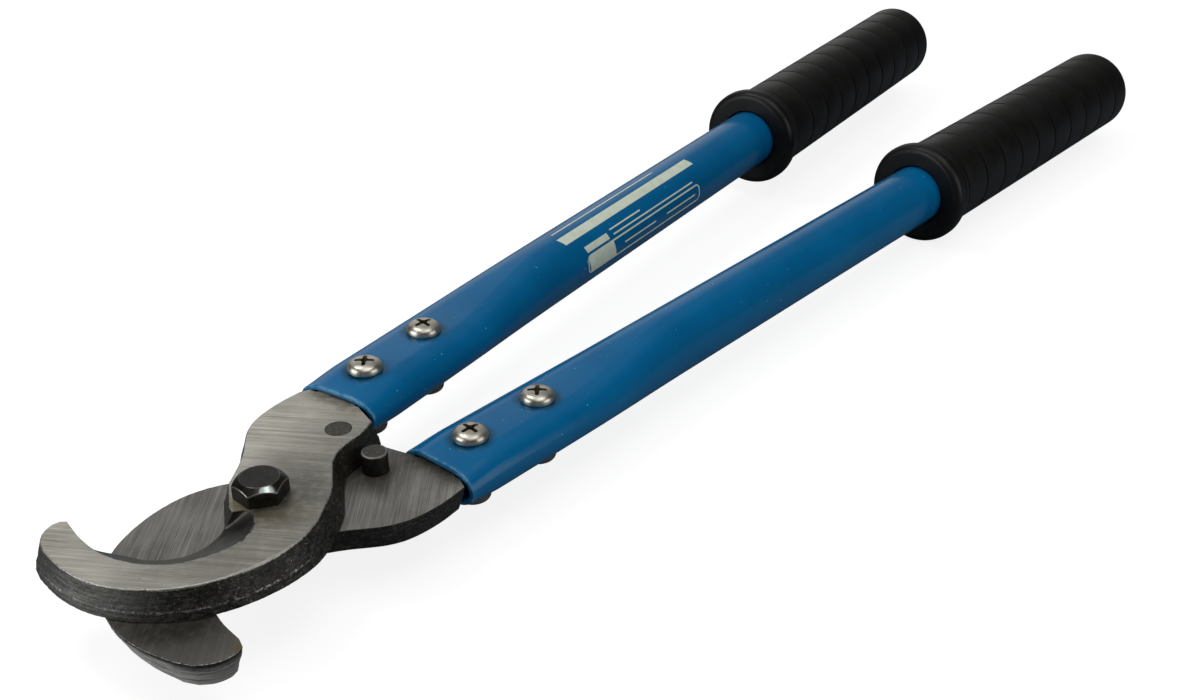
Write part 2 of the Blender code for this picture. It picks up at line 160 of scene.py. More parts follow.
# Screws and sleeve nuts
SCREW_HEAD_RADIUS = 5.3
SCREW_HEAD_HEIGHT = 3.15
SCREW_DOME = 2.9         # exponent of the head's profile; 2 would be an ellipse
SCREW_RADIUS = 2.4
RECESS_LENGTH = 6.4
RECESS_WIDTH = 1.25
RECESS_DEPTH = 2.4
RECESS_TURNS = {"upper_front": 36.7, "upper_rear": -8.3, "lower_front": -8.3, "lower_rear": 36.7}
HEAD_GAP = 0.05          # between a head and the tube
SCREW_SEGMENTS = 64
SLEEVE_HEAD_RADIUS = 5.3
SLEEVE_HEAD_HEIGHT = 6.2
SLEEVE_HEAD_ROUNDING = 1.5
SLEEVE_RADIUS = 3.5
SLEEVE_BORE_RADIUS = 2.6
SLEEVE_HOLE_RADIUS = 3.8

# Grips
GRIP_START = 243.0
GRIP_END = 402.0
GRIP_RADIUS = 17.1
GRIP_BORE_RADIUS = 11.45
COLLAR_RADIUS = 19.6
COLLAR_END = 250.4
COLLAR_ROUNDING = 3.0
STEP_RADIUS = 18.3
STEP_END = 253.6
GRIP_END_ROUNDING = 5.0
GROOVE_COUNT = 10
GROOVE_START = 255.4
GROOVE_PITCH = 14.65
GROOVE_WIDTH = 1.2
GROOVE_DEPTH = 0.75
GRIP_SEGMENTS = 128

# Printed film on the upper tube
FILM_LIFT = 0.06         # the film's upper and lower faces, above the paint
FILM_BASE = 0.02
FRAME_LINE = 0.6
RULE_LINE = 0.55

# Creases: a surface is shaded sharp where it turns by more than this many degrees
CREASE = 35
BLADE_CREASE = 28
HEX_CREASE = 17
TUBE_CREASE = 50
GRIP_CREASE = 40
FILM_CREASE = 60

# Camera, in metres and degrees
VIEW_AZIMUTH = radians(-53.286)
VIEW_ELEVATION = radians(29.282)
VIEW_ROLL = radians(-0.042)
VIEW_DISTANCE = 0.47107
VIEW_TARGET = Vector((0.1243, -0.01553, SHEAR_PLANE_Z * MM))
LENS = 45.264
SENSOR = 36.0

# Studio: a dim room with soft patches, four softboxes round the camera's target, and a floor
ROOM_LIGHT = 0.035
ROOM_COLOUR = (1.0, 0.995, 0.98)
# direction, angles in degrees where a patch is full and where it ends, strength
LIGHT_PATCHES = (((0.66, 0.72, 0.23), 8, 34, 0.5),
                 ((0.72, 0.52, 0.46), 20, 50, 0.12),
                 ((0.0, 0.1, 1.0), 15, 50, 0.35),
                 ((0.07, -0.34, 0.937), 3, 9, 3.0))
# name, direction, side in metres, power in watts
SOFTBOXES = (("softbox_top_right", (-0.12, -0.26, 0.96), 1.1, 4.0),
             ("softbox_top_left", (-0.13, 0.42, 0.88), 0.35, 2.8),
             ("softbox_side_right", (0.20, -0.94, 0.28), 0.8, 3.6),
             ("softbox_side_left", (-0.84, 0.46, 0.28), 0.8, 6.5))
SOFTBOX_DISTANCE = 1.2   # in metres
FLOOR_HALF_SIDE = 4000

# Colours, linear
BARE_STEEL = (0.42, 0.40, 0.37)
GREASE = (0.15, 0.115, 0.065)
TAN = (0.30, 0.235, 0.115)
# Oil; round the stop pin the same colour is painted shade.
OIL_AND_SHADE = (0.045, 0.038, 0.022)
RUST = (0.16, 0.10, 0.03)
# Darker grey patches; at the lower jaw's tip one is painted shade.
DARKER_PATCH = (0.085, 0.082, 0.072)
# Painted shade under the hook, with black grease.
HOOK_SHADE_AND_GREASE = (0.016, 0.014, 0.009)
# Black grease, with painted shade, on the walls round the neck and the stop pin.
BLACK_GREASE_AND_SHADE = (0.012, 0.011, 0.006)

# The blade's outer face, as points that a smooth curve passes
NECK = [(41.9, 30.0), (35.3, 30.3), (28.8, 29.8), (22.9, 28.4), (18.3, 25.9), (14.5, 22.6),
        (10.5, 18.8), (6.4, 15.6), (2.1, 12.9), (-1.9, 10.5)]
NOSE = (-8.9, 2.2)
MOUTH = [(-9.7, 0.0), (-7.4, -2.6), (-8.6, -7.0), (-13.0, -10.3), (-19.5, -11.2), (-30.1, -7.2),
         (-37.2, 0.4), (-40.6, 10.5), (-40.2, 20.5), (-37.5, 30.4)]
TIP = [(-38.6, 31.7), (-40.9, 32.1), (-44.3, 30.9), (-47.1, 28.2)]
BACK = [(-48.6, 24.5), (-50.2, 14.8), (-49.4, 4.3), (-45.0, -5.5), (-38.0, -13.6), (-29.2, -19.0),
        (-18.5, -22.0), (-8.5, -22.4), (-0.9, -20.6), (5.8, -17.1), (12.4, -13.0), (17.0, -8.6),
        (21.6, -3.9)]
SHANK = [(25.6, -1.5), (31.0, -0.3), (37.3, 0.3), (42.7, 2.1)]
# The cutting edge, in the shear plane, from the nose to the tip
CUTTING_EDGE = [(-13.4, 3.2), (-19.5, 2.9), (-25.4, 5.3), (-29.9, 10.6), (-32.3, 17.0),
                (-34.7, 23.5), (-36.2, 30.9)]
# Points to which those curves are resampled
NECK_COUNT = 100
MOUTH_COUNT = 170
TIP_COUNT = 22
BACK_COUNT = 230
SHANK_COUNT = 36


# ---- Mesh helpers ----

def scatter(point, scale, octaves=3):
    """Fractal noise in about -1..1 at a point in millimetres."""
    return noise.fractal(Vector(point) * scale, 0.8, 2.0, octaves)


def bridge(loops, wear=None, closed_profile=False, caps=True, material_of=None):
    """Joins rings of points into a skin. wear holds one number for each ring, for the shaders;
    material_of gives the material index of the strip that starts at a point of the rings."""
    bm = bmesh.new()
    layer = bm.verts.layers.float.new("wear")
    rings = []
    for k, loop in enumerate(loops):
        ring = [bm.verts.new(point) for point in loop]
        for vert in ring:
            vert[layer] = wear[k] if wear else 0.0
        rings.append(ring)
    pairs = list(zip(rings, rings[1:]))
    if closed_profile:
        pairs.append((rings[-1], rings[0]))
    for lower, upper in pairs:
        for i in range(len(lower)):
            j = (i + 1) % len(lower)
            face = bm.faces.new((lower[i], lower[j], upper[j], upper[i]))
            if material_of:
                face.material_index = material_of(i)
    if caps:
        bm.faces.new(rings[0][::-1])
        bm.faces.new(rings[-1])
    return bm


def circle(radius, z, segments):
    """A level ring of points round the Z axis."""
    steps = [2 * pi * i / segments for i in range(segments)]
    return [(radius * cos(a), radius * sin(a), z) for a in steps]


def turned(profile, segments, wear=None, hollow=False):
    """A turned shape from its (radius, z) profile; a hollow one's profile closes on itself."""
    loops = [circle(r, z, segments) for r, z in profile]
    return bridge(loops, wear, closed_profile=hollow, caps=not hollow)


def rounded(centre_r, centre_z, radius, start_deg, end_deg, steps=6):
    """Points of an arc in the (radius, z) plane of a turned profile."""
    angles = [radians(start_deg + (end_deg - start_deg) * i / steps) for i in range(steps + 1)]
    return [(centre_r + radius * cos(a), centre_z + radius * sin(a)) for a in angles]


def smooth_curve(points, count):
    """Catmull-Rom curve through the points, resampled at equal distances, both ends included."""
    knots = [Vector(p) for p in points]
    knots = [2 * knots[0] - knots[1]] + knots + [2 * knots[-1] - knots[-2]]
    steps = 32
    fine = []
    for a, b, c, d in zip(knots, knots[1:], knots[2:], knots[3:]):
        for i in range(steps):
            t = i / steps
            fine.append(0.5 * (2 * b + (c - a) * t + (2 * a - 5 * b + 4 * c - d) * t ** 2
                               + (3 * b - a - 3 * c + d) * t ** 3))
    fine.append(knots[-2])
    lengths = [0.0]
    for a, b in zip(fine, fine[1:]):
        lengths.append(lengths[-1] + (b - a).length)
    result = []
    k = 0
    for i in range(count):
        wanted = lengths[-1] * i / (count - 1)
        while k < len(fine) - 2 and lengths[k + 1] < wanted:
            k += 1
        share = (wanted - lengths[k]) / (lengths[k + 1] - lengths[k])
        result.append(fine[k].lerp(fine[k + 1], min(share, 1.0)))
    return result


def outward_normals(outline):
    """Unit normals that point out of a closed anticlockwise outline."""
    normals = []
    for i, point in enumerate(outline):
        before = (point - outline[i - 1]).normalized()
        after = (outline[(i + 1) % len(outline)] - point).normalized()
        along = (before + after).normalized()
        normals.append(Vector((along.y, -along.x)))
    return normals


def shade(mesh, angle):
    """Smooth shading, sharp where the surface turns by more than an angle or the material changes."""
    mesh.shade_smooth()
    mesh.set_sharp_from_angle(angle=radians(angle))
    sharp = mesh.attributes["sharp_edge"].data
    finishes = {}
    for face in mesh.polygons:
        for loop in face.loop_indices:
            finishes.setdefault(mesh.loops[loop].edge_index, set()).add(face.material_index)
    for edge, around in finishes.items():
        if len(around) > 1:
            sharp[edge].value = True


def add_object(name, data):
    obj = bpy.data.objects.new(name, data)
    SCENE.collection.objects.link(obj)
    return obj


def add_piece(name, bm, materials, place, crease=CREASE):
    """Turns a bmesh in millimetres into an object in metres."""
    bmesh.ops.remove_doubles(bm, verts=bm.verts, dist=1e-4)
    bmesh.ops.recalc_face_normals(bm, faces=bm.faces)
    bmesh.ops.scale(bm, vec=(MM, MM, MM), verts=bm.verts)
    mesh = bpy.data.meshes.new(name)
    bm.to_mesh(mesh)
    bm.free()
    shade(mesh, crease)
    for made in materials:
        mesh.materials.append(made)
    obj = add_object(name, mesh)
    obj.matrix_world = place
    return obj


def carve(obj, bm, place, finish=0, operation="DIFFERENCE", crease=CREASE):
    """Cuts a shape out of a piece, or joins one to it. finish is the new faces' material index."""
    for face in bm.faces:
        face.material_index = finish
    cutter = add_piece("cutter", bm, list(obj.data.materials), place)
    modifier = obj.modifiers.new("carve", "BOOLEAN")
    modifier.operation = operation
    modifier.object = cutter
    modifier.solver = "EXACT"
    bpy.context.view_layer.update()
    graph = bpy.context.evaluated_depsgraph_get()
    carved = bpy.data.meshes.new_from_object(obj.evaluated_get(graph))
    obj.modifiers.clear()
    shade(carved, crease)
    obj.data = carved
    bpy.data.objects.remove(cutter, do_unlink=True)


def add_part(node, bm, looks, place, crease=CREASE):
    """A piece that takes the place of a CAD node and rides with its body."""
    part = add_piece(node + "_fine", bm, looks, place, crease)
    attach(part, frame["nodes"][node]["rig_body"])
    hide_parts(node)
    return part


def moved(x, y, z=0.0):
    return Matrix.Translation(Vector((x, y, z)) * MM)


def along_handle(distance, offset=0.0):
    """Plan point on the upper handle, a distance behind its front screw and an offset to its left."""
    direction = Vector((cos(HANDLE_ANGLE), sin(HANDLE_ANGLE)))
    left = Vector((-direction.y, direction.x))
    return FRONT_SCREW + direction * distance + left * offset


def handle_matrix():
    """Places a piece built along +Z, with its own X to the side, on a handle's axis."""
    x_side = Matrix(((0, 0, 1), (1, 0, 0), (0, 1, 0))).to_4x4()
    return moved(*FRONT_SCREW, AXIS_Z) @ Matrix.Rotation(HANDLE_ANGLE, 4, "Z") @ x_side


def bend_matrix(unit=1.0):
    """The tube's slight bend, about a point on the handle's axis, in the piece's own frame.
    unit is MM where the points are in metres."""
    there = Matrix.Translation(Vector((0, 0, BEND_START)) * unit)
    return there @ Matrix.Rotation(BEND, 4, "X") @ there.inverted()


# ---- Shader helpers ----

def times(colour, factor):
    return tuple(factor * c for c in colour)


class Shader:
    """The node tree of a material or a world, with short calls for the nodes used here."""

    def __init__(self, owner, surface):
        owner.use_nodes = True
        self.owner = owner
        self.tree = owner.node_tree
        self.surface = self.tree.nodes[surface]

    def feed(self, socket, value):
        """Links a socket, or sets it; colours are given without their opacity."""
        if isinstance(value, bpy.types.NodeSocket):
            self.tree.links.new(value, socket)
        else:
            socket.default_value = (*value, 1.0) if socket.type == "RGBA" else value

    def node(self, kind, inputs, output=0, **settings):
        """Adds a node; inputs holds numbers to set or sockets to link. Returns one of its outputs."""
        made = self.tree.nodes.new("ShaderNode" + kind)
        for key, value in settings.items():
            setattr(made, key, value)
        for key, value in inputs.items():
            self.feed(made.inputs[key], value)
        return made.outputs[output]

    def set(self, **inputs):
        """Sets or links inputs of the surface shader."""
        for key, value in inputs.items():
            self.feed(self.surface.inputs[key.replace("_", " ")], value)

    def finish(self, colour, **inputs):
        """Sets a material's colour and other inputs, and returns the material."""
        self.set(Base_Color=colour, **inputs)
        return self.owner

    def place(self, turn=0.0, scale=(1, 1, 1)):
        """Position on the piece in millimetres, turned about Z and then scaled."""
        here = self.node("TexCoord", {}, "Object")
        turned_to = self.node("Mapping", {
            0: here, "Rotation": (0, 0, -turn), "Scale": (1 / MM, 1 / MM, 1 / MM)})
        return self.node("VectorMath", {0: turned_to, 1: scale}, operation="MULTIPLY")

    def noise(self, where, scale=1.0, detail=3.0, rough=0.55):
        return self.node("TexNoise", {
            "Vector": where, "Scale": scale, "Detail": detail, "Roughness": rough})

    def math(self, operation, a, b):
        return self.node("Math", {0: a, 1: b}, operation=operation)

    def both(self, a, b):
        """The product of two masks."""
        return self.math("MULTIPLY", a, b)

    def sum(self, *parts):
        """The sum of (value, weight) pairs."""
        total = None
        for value, weight in parts:
            part = self.math("MULTIPLY", value, weight)
            total = self.math("ADD", total, part) if total else part
        return total

    def ramp(self, value, low, high, to_low=0.0, to_high=1.0):
        """Maps low..high to to_low..to_high, smoothly and clamped."""
        return self.node("MapRange", {
            "Value": value, "From Min": low, "From Max": high, "To Min": to_low, "To Max": to_high},
            interpolation_type="SMOOTHSTEP")

    def blend(self, share, a, b):
        """Mixes two colours; a Mix node's colour sockets are its inputs 6 and 7 and its output 2."""
        return self.node("Mix", {0: share, 6: a, 7: b}, 2, data_type="RGBA")

    def tint(self, value, low, high, a, b):
        """Colour a where a value is low, b where it is high."""
        return self.blend(self.ramp(value, low, high), a, b)

    def wear(self):
        return self.node("Attribute", {}, "Fac", attribute_name="wear")

    def height_of(self, vector):
        return self.node("SeparateXYZ", {0: vector}, "Z")

    def bump(self, height, distance, strength, normal=None):
        inputs = {"Height": height, "Distance": distance * MM, "Strength": strength}
        if normal:
            inputs["Normal"] = normal
        return self.node("Bump", inputs)

    def near(self, centre, radius):
        """1 at a point in millimetres, falling to 0 at a radius."""
        here = self.place()
        gap = self.node("VectorMath", {0: here, 1: centre}, "Value", operation="DISTANCE")
        return self.ramp(gap, 0.0, radius, 1.0, 0.0)


def material(name):
    return Shader(bpy.data.materials.new(name), "Principled BSDF")


# ---- Materials ----

def ground_steel(name, line_turn, dark, light, stains_and_shade):
    """A surface ground in one direction: fine straight lines, faint bands, scratches, pits, dirt and
    painted shade.
    Its last argument holds (place, radius, strength, patchiness, colour) of stains and of painted shade."""
    s = material(name)
    fine = s.noise(s.place(line_turn, (0.05, 5.0, 0.5)), 1.0, 4.0, 0.7)
    broad = s.noise(s.place(line_turn, (0.02, 0.9, 0.2)), 1.0, 3.0, 0.6)
    cloud = s.noise(s.place(0, (0.05, 0.05, 0.05)), 1.0, 3.0)
    tone = s.blend(s.ramp(s.sum((fine, 0.75), (broad, 0.35), (cloud, 0.35)), 0.53, 0.97), dark, light)
    scratch = s.noise(s.place(line_turn + 1.0, (0.16, 3.0, 0.5)), 1.0, 1.0)
    scratched = tuple(min(c, 0.9) for c in times(light, 1.4))
    tone = s.blend(s.ramp(scratch, 0.735, 0.775, 0.0, 0.55), tone, scratched)
    patches = s.noise(s.place(), 0.4, 4.0)
    # Stains tint the tone; some of them are painted shade.
    for centre, radius, strength, patchiness, colour in stains_and_shade:
        mask = s.both(s.near(centre, radius), s.ramp(patches, 0.3, 0.6, 1 - patchiness, 1.0))
        tone = s.blend(s.both(mask, strength), tone, colour)
    pits = s.ramp(s.noise(s.place(), 1.1, 2.0), 0.72, 0.76)
    pit_black = (0.05, 0.045, 0.04)
    tone = s.blend(s.both(pits, 0.5), tone, pit_black)
    across = s.node("CombineXYZ", {0: -sin(line_turn), 1: cos(line_turn), 2: 0.0})
    tangent = s.node("VectorTransform", {0: across}, vector_type="VECTOR",
                     convert_from="OBJECT", convert_to="WORLD")
    return s.finish(tone, Metallic=0.6, Roughness=s.ramp(broad, 0.2, 0.8, 0.34, 0.44),
                    Anisotropic=0.4, Tangent=tangent, Normal=s.bump(fine, 0.014, 0.8))


def forged_scale(name, spots):
    """Black, grainy forged skin; edges and the parting ridge are nicked down to bright steel.
    spots holds (place, radius, colour, lowest height) where the skin was ground off, is greasy or lies in
    painted shade."""
    s = material(name)
    here = s.place()
    coarse = s.noise(here, 0.6, 5.0, 0.65)
    grain = s.noise(here, 1.5, 3.0, 0.7)
    share = s.sum((coarse, 0.45), (grain, 0.55))
    tone = s.tint(share, 0.40, 0.66, (0.004, 0.0037, 0.0026), (0.055, 0.052, 0.044))
    smudge = s.ramp(s.noise(here, 0.13, 2.0), 0.42, 0.62, 0.0, 0.65)
    smudge_black = (0.006, 0.0055, 0.004)
    tone = s.blend(smudge, tone, smudge_black)
    drawn_out = s.noise(s.place(0, (0.5, 0.5, 2.6)), 1.0, 4.0, 0.6)
    drawn_grey = (0.12, 0.116, 0.102)
    tone = s.blend(s.ramp(drawn_out, 0.48, 0.72, 0.0, 0.5), tone, drawn_grey)
    lines = s.noise(s.place(0, (0.08, 0.08, 1.7)), 1.0, 3.0, 0.6)
    height = s.height_of(here)
    for centre, radius, colour, lowest in spots:
        streaks = s.both(s.ramp(lines, 0.38, 0.58, 0.35, 1.0), s.ramp(height, lowest, lowest + 2))
        tone = s.blend(s.both(s.near(centre, radius), streaks), tone, colour)
    nick = s.noise(here, 1.1, 4.0, 0.7)
    bare = s.ramp(s.sum((s.wear(), 0.55), (nick, 0.6)), 0.66, 0.80)
    specks = s.ramp(s.noise(here, 1.9, 2.0, 0.5), 0.67, 0.73, 0.0, 0.75)
    bare = s.math("MAXIMUM", bare, specks)
    nicked = (0.40, 0.385, 0.35)
    tone = s.blend(bare, tone, nicked)
    skin = s.bump(coarse, 0.25, 0.8, s.bump(grain, 0.08, 0.9))
    return s.finish(tone, Metallic=s.ramp(bare, 0, 1, 0.35, 1.0), Specular_IOR_Level=0.35,
                    Roughness=s.ramp(coarse, 0.3, 0.7, 0.38, 0.58), Normal=skin)


def mouth_bevel():
    """The hollow-ground bevel in the mouth: darker than the faces as painted shade, darker still near the
    nose, with lines that run down it.
    """
    s = material("mouth_bevel")
    lines = s.noise(s.place(0.6, (0.4, 0.4, 2.2)), 1.0, 4.0, 0.6)
    cloud = s.noise(s.place(), 0.35, 3.0)
    share = s.sum((lines, 0.5), (cloud, 0.5))
    # Painted shade: the bevel's tones are darker than the faces' steel.
    tone = s.tint(share, 0.3, 0.7, (0.034, 0.033, 0.029), (0.125, 0.122, 0.112))
    # Painted shade: darker still near the nose.
    nose_shade_black = (0.022, 0.021, 0.018)
    tone = s.blend(s.near((-9, -4, 4), 9), tone, nose_shade_black)
    tone = s.blend(s.both(s.ramp(cloud, 0.4, 0.6), s.ramp(s.wear(), 0.78, 1.0)), tone, BARE_STEEL)
    return s.finish(tone, Metallic=0.8, Roughness=0.42, Normal=s.bump(lines, 0.03, 0.6))


def black_oxide(name, grain_size, gloss, least_rub=0.6, polished_highlights=()):
    """Blackened steel with rubbed bright edges and a few scuffs.
    The last argument holds (place, radius) where sloping faces are rubbed and tinted bluish as a painted
    highlight."""
    s = material(name)
    here = s.place()
    cloud = s.noise(here, 0.45, 4.0)
    grain = s.noise(here, 1 / grain_size, 4.0, 0.6)
    tone = s.tint(cloud, 0.3, 0.7, (0.004, 0.004, 0.003), (0.015, 0.014, 0.010))
    scuffs = s.ramp(s.noise(s.place(0.9, (0.25, 2.6, 1.0)), 1.0, 3.0), 0.68, 0.76, 0.0, 0.2)
    rubbed = s.both(s.ramp(s.noise(here, 0.22, 2.0), 0.40, 0.54, least_rub, 1.0), s.wear())
    bare = s.math("MAXIMUM", s.both(s.ramp(grain, 0.25, 0.45), rubbed), scuffs)
    rubbed_grey = (0.34, 0.33, 0.30)
    tone = s.blend(bare, tone, rubbed_grey)
    facing_up = s.height_of(s.node("TexCoord", {}, "Normal"))
    sloping = s.both(s.ramp(facing_up, 0.55, 0.7), s.ramp(facing_up, 0.9, 0.97, 1.0, 0.0))
    # Painted highlight: sloping faces near each place are tinted bluish and made metallic, like a rubbed
    # patch that shines.
    highlight_blue = (0.25, 0.285, 0.28)
    for centre, radius in polished_highlights:
        rub_highlight = s.both(s.ramp(s.near(centre, radius), 0.10, 0.5), sloping)
        tone = s.blend(rub_highlight, tone, highlight_blue)
        bare = s.math("MAXIMUM", bare, rub_highlight)
    rough = s.math("ADD", s.ramp(grain, 0.3, 0.7, 0.0, 0.08), gloss)
    return s.finish(tone, Metallic=s.ramp(bare, 0, 1, 0.1, 1.0), Roughness=rough,
                    Specular_IOR_Level=0.3, Normal=s.bump(grain, 0.01, 0.35))


def pin_end():
    """The pin's sawn end: dull grey with fine grain and smears."""
    s = material("pin_end")
    grain = s.noise(s.place(), 1.6, 4.0, 0.65)
    smear = s.noise(s.place(0.4, (0.5, 2.0, 1.0)), 1.0, 3.0)
    share = s.sum((grain, 0.6), (smear, 0.4))
    tone = s.tint(share, 0.35, 0.65, (0.024, 0.023, 0.018), (0.085, 0.081, 0.067))
    return s.finish(tone, Metallic=0.4, Roughness=0.5, Normal=s.bump(grain, 0.03, 0.6))


def zinc_plate(name, brightness, roughness):
    """Plated steel, a little yellowed and cloudy."""
    s = material(name)
    here = s.place()
    cloud = s.noise(here, 0.35, 3.0)
    grain = s.noise(here, 5.0, 2.0)
    dull = times((0.52, 0.485, 0.41), brightness)
    clear = times((0.74, 0.71, 0.63), brightness)
    yellowed = times((0.30, 0.27, 0.21), brightness)
    tone = s.tint(cloud, 0.35, 0.7, dull, clear)
    tone = s.blend(s.ramp(grain, 0.55, 0.75, 0.0, 0.35), tone, yellowed)
    rough = s.ramp(cloud, 0.3, 0.7, roughness, roughness + 0.06)
    return s.finish(tone, Metallic=0.9, Roughness=rough, Normal=s.bump(grain, 0.003, 0.25))


def recess_dirt():
    s = material("recess_dirt")
    grain = s.noise(s.place(), 1.8, 4.0)
    tone = s.tint(grain, 0.35, 0.65, (0.022, 0.017, 0.009), (0.12, 0.105, 0.07))
    return s.finish(tone, Metallic=0.6, Roughness=0.5, Normal=s.bump(grain, 0.08, 0.7))


def blue_paint():
    """Gloss paint with a fine orange peel, a thin pale line at worn rims that is partly a painted
    highlight, a few dust nibs and painted shade around the screws."""
    s = material("blue_paint")
    here = s.place()
    peel = s.noise(here, 0.5, 2.0, 0.5)
    cloud = s.noise(here, 0.05, 2.0)
    tone = s.tint(cloud, 0.3, 0.7, (0.0003, 0.112, 0.280), (0.0006, 0.130, 0.318))
    nibs = s.ramp(s.noise(here, 0.75, 1.0), 0.775, 0.785)
    nib_blue = (0.25, 0.55, 0.75)
    tone = s.blend(s.both(nibs, 0.5), tone, nib_blue)
    # Painted shade: a darker ring round each screw head, where its contact shadow falls.
    screw_shadow_blue = (0.0008, 0.035, 0.060)
    for i in range(2):
        for height in (-FLAT_HALF_HEIGHT, FLAT_HALF_HEIGHT):
            screw = (0, height, SCREW_SPACING * i)
            screw_shadow = s.ramp(s.near(screw, 13), 0.33, 0.60, 0.0, 0.75)
            screw_shadow = s.both(screw_shadow, s.ramp(peel, 0.3, 0.55, 0.6, 1.0))
            tone = s.blend(screw_shadow, tone, screw_shadow_blue)
    # Worn rims get a pale line that is partly wear and partly a painted highlight.
    rim = s.both(s.ramp(peel, 0.42, 0.6, 0.25, 1.0), s.wear())
    rim_highlight_blue = (0.16, 0.42, 0.60)
    tone = s.blend(s.both(rim, 0.45), tone, rim_highlight_blue)
    return s.finish(tone, Roughness=s.ramp(peel, 0.3, 0.7, 0.17, 0.21), Specular_IOR_Level=0.26,
                    Normal=s.bump(peel, 0.005, 0.2))


def black_rubber():
    """Moulded rubber, semi-gloss, with a fine grain."""
    s = material("black_rubber")
    here = s.place()
    grain = s.noise(here, 2.2, 3.0, 0.6)
    cloud = s.noise(here, 0.08, 3.0)
    tone = s.tint(cloud, 0.35, 0.7, (0.0034, 0.0032, 0.0029), (0.0056, 0.0053, 0.0048))
    return s.finish(tone, Roughness=s.ramp(cloud, 0.3, 0.7, 0.36, 0.46), Specular_IOR_Level=0.28,
                    Normal=s.bump(grain, 0.02, 0.4))


def decal_ink():
    s = material("decal_ink")
    cloud = s.noise(s.place(), 0.3, 4.0)
    tone = s.tint(cloud, 0.3, 0.7, (0.62, 0.70, 0.565), (0.72, 0.79, 0.66))
    return s.finish(tone, Roughness=0.35)


def pale_floor():
    """White table: near pure white to the camera, with a trace of contact shadow, and darker in
    mirrored light. A camera below it looks through."""
    s = material("pale_floor")
    seen = s.node("LightPath", {}, "Is Camera Ray")
    mirrored = s.node("LightPath", {}, "Is Glossy Ray")
    from_below = s.node("NewGeometry", {}, "Backfacing")
    cloud = s.noise(s.place(), 0.004, 2.0)
    lit = s.tint(cloud, 0.3, 0.7, (0.34, 0.34, 0.33), (0.38, 0.38, 0.37))
    mirror_grey = (0.15, 0.18, 0.21)
    seen_grey = (0.30, 0.30, 0.30)
    tone = s.blend(seen, s.blend(mirrored, lit, mirror_grey), seen_grey)
    opacity = s.math("SUBTRACT", 1.0, s.both(seen, from_below))
    return s.finish(tone, Roughness=0.6, Emission_Color=(1.0, 1.0, 1.0),
                    Emission_Strength=s.both(seen, 0.84), Alpha=opacity)


# ---- Blades ----

def blade_levels():
    """(height, how far the skin stands out, wear) from the shear face to the outer face."""
    levels = [(SHEAR_GAP, -EDGE_ROUND, 0.6), (SHEAR_GAP + 0.06, -0.3 * EDGE_ROUND, 0.9),
              (SHEAR_GAP + EDGE_ROUND, 0.0, 0.5), (0.9, 0.0, 0.2), (1.35, 0.1 * RIDGE, 0.25),
              (1.8, 0.5 * RIDGE, 0.5), (2.15, 0.85 * RIDGE, 0.65), (PARTING_Z, RIDGE, 0.75),
              (2.85, 0.85 * RIDGE, 0.6), (3.2, 0.45 * RIDGE, 0.35), (3.6, 0.1 * RIDGE, 0.1)]
    levels += [(3.6 + 0.42 * i, 0.0, 0.0) for i in range(1, 9)]
    levels += [(BLADE_TOP - 0.55, 0.0, 0.45), (BLADE_TOP - EDGE_ROUND, 0.0, 0.8),
               (BLADE_TOP - 0.06, -0.3 * EDGE_ROUND, 1.0), (BLADE_TOP, -EDGE_ROUND, 0.8)]
    return levels


def blade_rings(relief):
    """The blade's skin as rings from the shear face up, and where the mouth's points begin and end.
    relief is how far the back is relieved near the tip."""
    neck = smooth_curve(NECK, NECK_COUNT) + [Vector(NOSE)]
    mouth = smooth_curve(MOUTH, MOUTH_COUNT)
    edge = smooth_curve(CUTTING_EDGE, MOUTH_COUNT)
    tip = smooth_curve(TIP, TIP_COUNT)
    back = smooth_curve(BACK, BACK_COUNT)
    shank = smooth_curve(SHANK, SHANK_COUNT)
    tang = [along_handle(*corner) for corner in (
        (SHOULDER, -SHOULDER_RIGHT), (SHOULDER, -TANG_HALF_WIDTH), (TANG_END, -TANG_HALF_WIDTH),
        (TANG_END, TANG_HALF_WIDTH), (SHOULDER, TANG_HALF_WIDTH), (SHOULDER, SHOULDER_LEFT))]
    face = neck + mouth + tip + back + shank + tang
    normals = outward_normals(face)
    first_mouth = len(neck)
    first_tip = first_mouth + len(mouth)
    first_back = first_tip + len(tip)
    first_shank = first_back + len(back)
    first_tang = first_shank + len(shank)

    rings = []
    for height, stand_out, _ in blade_levels():
        ramp = (BLADE_TOP - height) / (BLADE_TOP - SHEAR_GAP)    # 1 at the shear face, 0 at the outer
        hollow = BEVEL_HOLLOW * 4 * ramp * (1 - ramp)
        ring = []
        for i, (point, normal) in enumerate(zip(face, normals)):
            if first_mouth <= i < first_tip:
                down_bevel = edge[i - first_mouth] - point
                rounding = min(stand_out, 0.0) if height > PARTING_Z else 0.0
                point = point + down_bevel * ramp - down_bevel.normalized() * (hollow - rounding)
                point = point + normal * BEVEL_NOISE * scatter((point.x, point.y, height), 0.7) * (1 - ramp)
            elif i < first_tang:
                draft = SIDE_DRAFT
                if first_back <= i < first_shank:
                    draft += BELLY_DRAFT * max(-normal.y, 0.0) ** 3
                    share = (i - first_back) / len(back) / RELIEF_SHARE
                    point = point - normal * relief * (1 - ramp) * sin(pi * min(share, 1.0))
                rough = WALL_NOISE * scatter((point.x, point.y, height), 0.9, 4)
                rough *= min(1.0, 0.25 + 0.5 * (BLADE_TOP - height))
                rough *= 1 + 0.9 * exp(-((height - PARTING_Z) / 0.7) ** 2)
                point = point + normal * (draft * ramp + stand_out + rough)
            ring.append((point.x, point.y, height))
        rings.append(ring)
    return rings, first_mouth, first_tip


